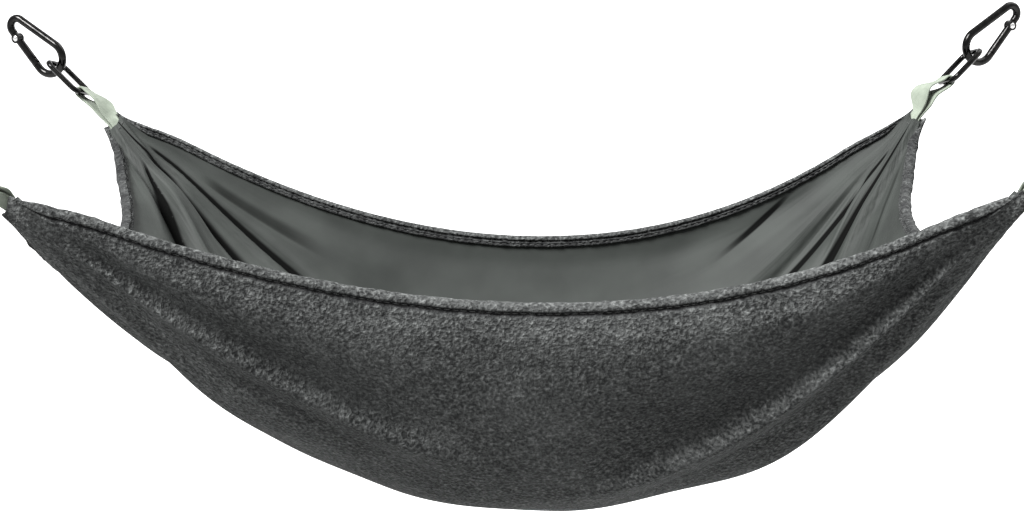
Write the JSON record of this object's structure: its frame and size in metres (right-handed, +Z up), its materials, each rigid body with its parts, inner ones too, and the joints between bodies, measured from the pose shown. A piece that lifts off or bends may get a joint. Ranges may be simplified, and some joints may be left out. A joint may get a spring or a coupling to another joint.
{
  "type": "cat hammock",
  "caption": "Rectangular fabric hammock for a cat, fleece outside and a smooth lining inside, hung by its corners from webbing loops, wire links and spring clips.",
  "frame": {"origin": "On the plan centre of the four clips, at the height of the sling's lowest point.", "axes": "+X to the right along the sling's long side, +Y to the back, +Z up."},
  "size_m": [0.6384, 0.402, 0.2631],
  "materials": {
    "fleece": "short pebbly fleece pile",
    "lining": "smooth woven lining with a slight sheen",
    "webbing": "flat woven webbing",
    "dark_steel": "black nickel plate",
    "steel": "plain bright steel"
  },
  "bodies": {
    "sling": {"outer_panel": "fleece", "inner_panel": "lining", "webbing_loop_front_left": "webbing", "webbing_loop_front_right": "webbing", "webbing_loop_back_left": "webbing", "webbing_loop_back_right": "webbing"},
    "link_body_front_left": {"link_front_left": "dark_steel"},
    "clip_body_front_left": {"carabiner_front_left": "dark_steel", "rivet_front_left": "steel"},
    "gate_body_front_left": {"gate_front_left": "dark_steel", "spring_front_left": "steel"},
    "plunger_body_front_left": {"plunger_front_left": "steel"},
    "link_body_front_right": {"link_front_right": "dark_steel"},
    "clip_body_front_right": {"carabiner_front_right": "dark_steel", "rivet_front_right": "steel"},
    "gate_body_front_right": {"gate_front_right": "dark_steel", "spring_front_right": "steel"},
    "plunger_body_front_right": {"plunger_front_right": "steel"},
    "link_body_back_left": {"link_back_left": "dark_steel"},
    "clip_body_back_left": {"carabiner_back_left": "dark_steel", "rivet_back_left": "steel"},
    "gate_body_back_left": {"gate_back_left": "dark_steel", "spring_back_left": "steel"},
    "plunger_body_back_left": {"plunger_back_left": "steel"},
    "link_body_back_right": {"link_back_right": "dark_steel"},
    "clip_body_back_right": {"carabiner_back_right": "dark_steel", "rivet_back_right": "steel"},
    "gate_body_back_right": {"gate_back_right": "dark_steel", "spring_back_right": "steel"},
    "plunger_body_back_right": {"plunger_back_right": "steel"}
  },
  "joints": [
    {"name": "link_swing_front_left", "type": "hinge", "parent": "sling", "child": "link_body_front_left", "pos_m": [-0.26914, -0.17632, 0.21574], "axis": [0.2574, -0.9457, -0.1983], "range_deg": [-70, 70]},
    {"name": "clip_tilt_front_left", "type": "hinge", "parent": "link_body_front_left", "child": "clip_body_front_left", "pos_m": [-0.28438, -0.18342, 0.22985], "axis": [0.5826, 0.2717, 0.766], "range_deg": [-60, 60]},
    {"name": "gate_turn_front_left", "type": "hinge", "parent": "clip_body_front_left", "child": "gate_body_front_left", "pos_m": [-0.31237, -0.19648, 0.24813], "axis": [0.4226, -0.9063, 0], "range_deg": [0, 25], "stiffness_Nm_per_rad": 0.02, "springref_deg": -22.92},
    {"name": "plunger_slide_front_left", "type": "slide", "parent": "gate_body_front_left", "child": "plunger_body_front_left", "axis": [0.5875, 0.2739, -0.7615], "range_m": [0, 0.00075], "deforming": ["spring_front_left"]},
    {"name": "link_swing_front_right", "type": "hinge", "parent": "sling", "child": "link_body_front_right", "pos_m": [0.26914, -0.17632, 0.21574], "axis": [-0.2574, -0.9457, -0.1983], "range_deg": [-70, 70]},
    {"name": "clip_tilt_front_right", "type": "hinge", "parent": "link_body_front_right", "child": "clip_body_front_right", "pos_m": [0.28438, -0.18342, 0.22985], "axis": [-0.5826, 0.2717, 0.766], "range_deg": [-60, 60]},
    {"name": "gate_turn_front_right", "type": "hinge", "parent": "clip_body_front_right", "child": "gate_body_front_right", "pos_m": [0.31237, -0.19648, 0.24813], "axis": [0.4226, 0.9063, 0], "range_deg": [0, 25], "stiffness_Nm_per_rad": 0.02, "springref_deg": -22.92},
    {"name": "plunger_slide_front_right", "type": "slide", "parent": "gate_body_front_right", "child": "plunger_body_front_right", "axis": [-0.5875, 0.2739, -0.7615], "range_m": [0, 0.00075], "deforming": ["spring_front_right"]},
    {"name": "link_swing_back_left", "type": "hinge", "parent": "sling", "child": "link_body_back_left", "pos_m": [-0.26914, 0.17632, 0.21574], "axis": [0.2574, 0.9457, -0.1983], "range_deg": [-70, 70]},
    {"name": "clip_tilt_back_left", "type": "hinge", "parent": "link_body_back_left", "child": "clip_body_back_left", "pos_m": [-0.28438, 0.18342, 0.22985], "axis": [0.5826, -0.2717, 0.766], "range_deg": [-60, 60]},
    {"name": "gate_turn_back_left", "type": "hinge", "parent": "clip_body_back_left", "child": "gate_body_back_left", "pos_m": [-0.31237, 0.19648, 0.24813], "axis": [-0.4226, -0.9063, 0], "range_deg": [0, 25], "stiffness_Nm_per_rad": 0.02, "springref_deg": -22.92},
    {"name": "plunger_slide_back_left", "type": "slide", "parent": "gate_body_back_left", "child": "plunger_body_back_left", "axis": [0.5875, -0.2739, -0.7615], "range_m": [0, 0.00075], "deforming": ["spring_back_left"]},
    {"name": "link_swing_back_right", "type": "hinge", "parent": "sling", "child": "link_body_back_right", "pos_m": [0.26914, 0.17632, 0.21574], "axis": [-0.2574, 0.9457, -0.1983], "range_deg": [-70, 70]},
    {"name": "clip_tilt_back_right", "type": "hinge", "parent": "link_body_back_right", "child": "clip_body_back_right", "pos_m": [0.28438, 0.18342, 0.22985], "axis": [-0.5826, -0.2717, 0.766], "range_deg": [-60, 60]},
    {"name": "gate_turn_back_right", "type": "hinge", "parent": "clip_body_back_right", "child": "gate_body_back_right", "pos_m": [0.31237, 0.19648, 0.24813], "axis": [-0.4226, 0.9063, 0], "range_deg": [0, 25], "stiffness_Nm_per_rad": 0.02, "springref_deg": -22.92},
    {"name": "plunger_slide_back_right", "type": "slide", "parent": "gate_body_back_right", "child": "plunger_body_back_right", "axis": [-0.5875, -0.2739, -0.7615], "range_m": [0, 0.00075], "deforming": ["spring_back_right"]}
  ],
  "couplings": [
    {"joint": "plunger_slide_front_left", "follows": "gate_turn_front_left", "m_per_rad": 0.0017},
    {"joint": "plunger_slide_front_right", "follows": "gate_turn_front_right", "m_per_rad": 0.0017},
    {"joint": "plunger_slide_back_left", "follows": "gate_turn_back_left", "m_per_rad": 0.0017},
    {"joint": "plunger_slide_back_right", "follows": "gate_turn_back_right", "m_per_rad": 0.0017}
  ]
}
